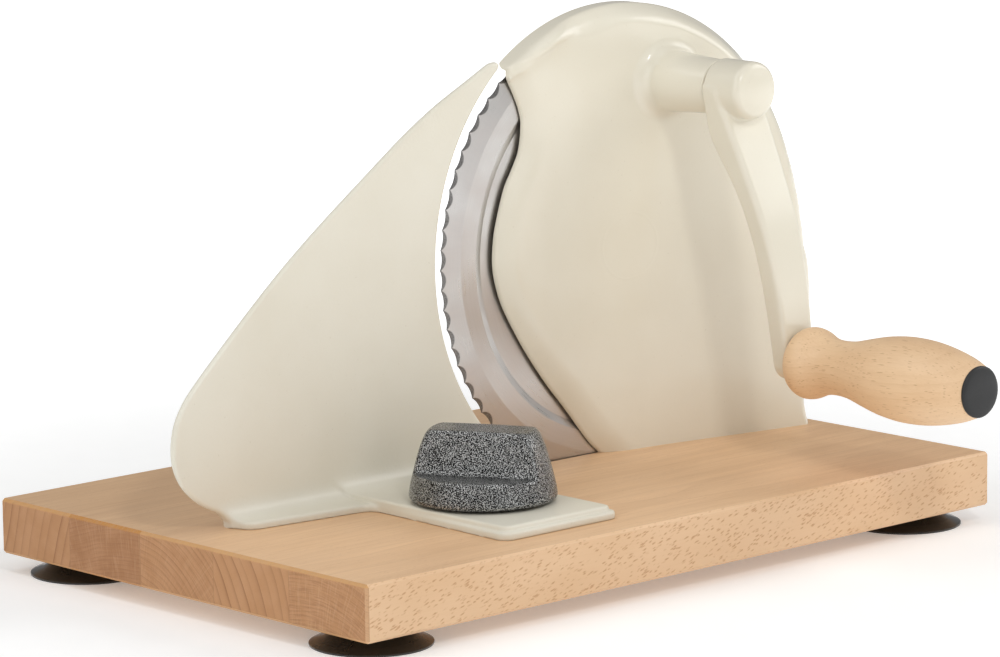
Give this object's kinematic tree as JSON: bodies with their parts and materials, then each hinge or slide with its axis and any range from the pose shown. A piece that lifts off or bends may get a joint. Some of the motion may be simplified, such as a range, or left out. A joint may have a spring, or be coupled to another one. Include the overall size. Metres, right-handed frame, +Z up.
{
  "type": "bread slicer",
  "caption": "Hand-cranked bread slicer: wavy-edge disc blade in a cream housing on a beech board, with a stop plate, slice knob and suction feet.",
  "frame": {"origin": "middle of the footprint, on the surface that the suction feet stand on", "axes": "+X along the board towards the housing, +Y from the crank side to the loaf side, +Z up"},
  "size_m": [0.336, 0.2737, 0.2122],
  "materials": {
    "beech_board": "planed and oiled beech",
    "beech_handle": "turned and lacquered beech",
    "black_rubber": "soft matt rubber",
    "cream_paint": "gloss cream paint on die-cast aluminium",
    "cream_plate": "semi-gloss cream paint on die-cast aluminium",
    "blade_steel": "ground stainless steel",
    "turned_steel": "turned steel",
    "zinc_steel": "zinc plated steel",
    "gear_plastic": "moulded acetal",
    "bronze": "sintered bronze",
    "hammertone": "black and silver hammertone lacquer",
    "grey_plastic": "satin moulded plastic"
  },
  "bodies": {
    "frame": {"base_board": "beech_board", "suction_feet": "black_rubber", "foot_washers": "zinc_steel", "foot_screws": "zinc_steel", "housing": "cream_paint", "rear_cover": "cream_paint", "rear_cover_screws": "zinc_steel", "housing_screws": "zinc_steel", "housing_washers": "zinc_steel", "blade_axle": "turned_steel", "axle_washer": "zinc_steel", "axle_screw": "zinc_steel", "shaft_bush_inner": "bronze", "shaft_bush_outer": "bronze", "pivot_bush": "bronze", "pivot_washer": "zinc_steel", "pivot_spring_washer": "zinc_steel"},
    "blade_unit": {"blade": "blade_steel", "blade_gear": "gear_plastic", "blade_screws": "zinc_steel", "gear_bush": "bronze"},
    "crank": {"crank_pinion": "turned_steel", "pinion_pin": "turned_steel", "crank_shaft": "turned_steel", "crank_washer": "bronze", "crank_arm": "cream_paint", "hub_grub_screw": "turned_steel", "handle_spindle": "turned_steel", "handle_washer": "zinc_steel"},
    "handle": {"handle_grip": "beech_handle", "handle_sleeve": "bronze", "handle_cap": "grey_plastic"},
    "plate": {"stop_plate": "cream_plate", "cam_pin": "turned_steel"},
    "knob": {"thickness_knob": "hammertone", "knob_insert": "bronze", "knob_bolt": "zinc_steel"}
  },
  "joints": [
    {"name": "blade_spin", "type": "hinge", "parent": "frame", "child": "blade_unit", "pos_m": [0.068, 0.0285, 0.1142], "axis": [0, -1, 0], "continuous": true},
    {"name": "crank_turn", "type": "hinge", "parent": "frame", "child": "crank", "pos_m": [0.08566, 0.0285, 0.18012], "axis": [0, -1, 0], "continuous": true},
    {"name": "handle_spin", "type": "hinge", "parent": "crank", "child": "handle", "pos_m": [0.09967, -0.041, 0.07082], "axis": [0, -1, 0], "continuous": true},
    {"name": "plate_slide", "type": "slide", "parent": "frame", "child": "plate", "axis": [0, -1, 0], "range_m": [0, 0.015]},
    {"name": "knob_turn", "type": "hinge", "parent": "frame", "child": "knob", "pos_m": [-0.054, -0.0184, 0.0295], "axis": [0, 0, 1], "range_deg": [0, 270]}
  ],
  "couplings": [
    {"joint": "crank_turn", "follows": "blade_spin", "ratio": -3.3333},
    {"joint": "knob_turn", "follows": "plate_slide", "rad_per_m": 314.16}
  ]
}
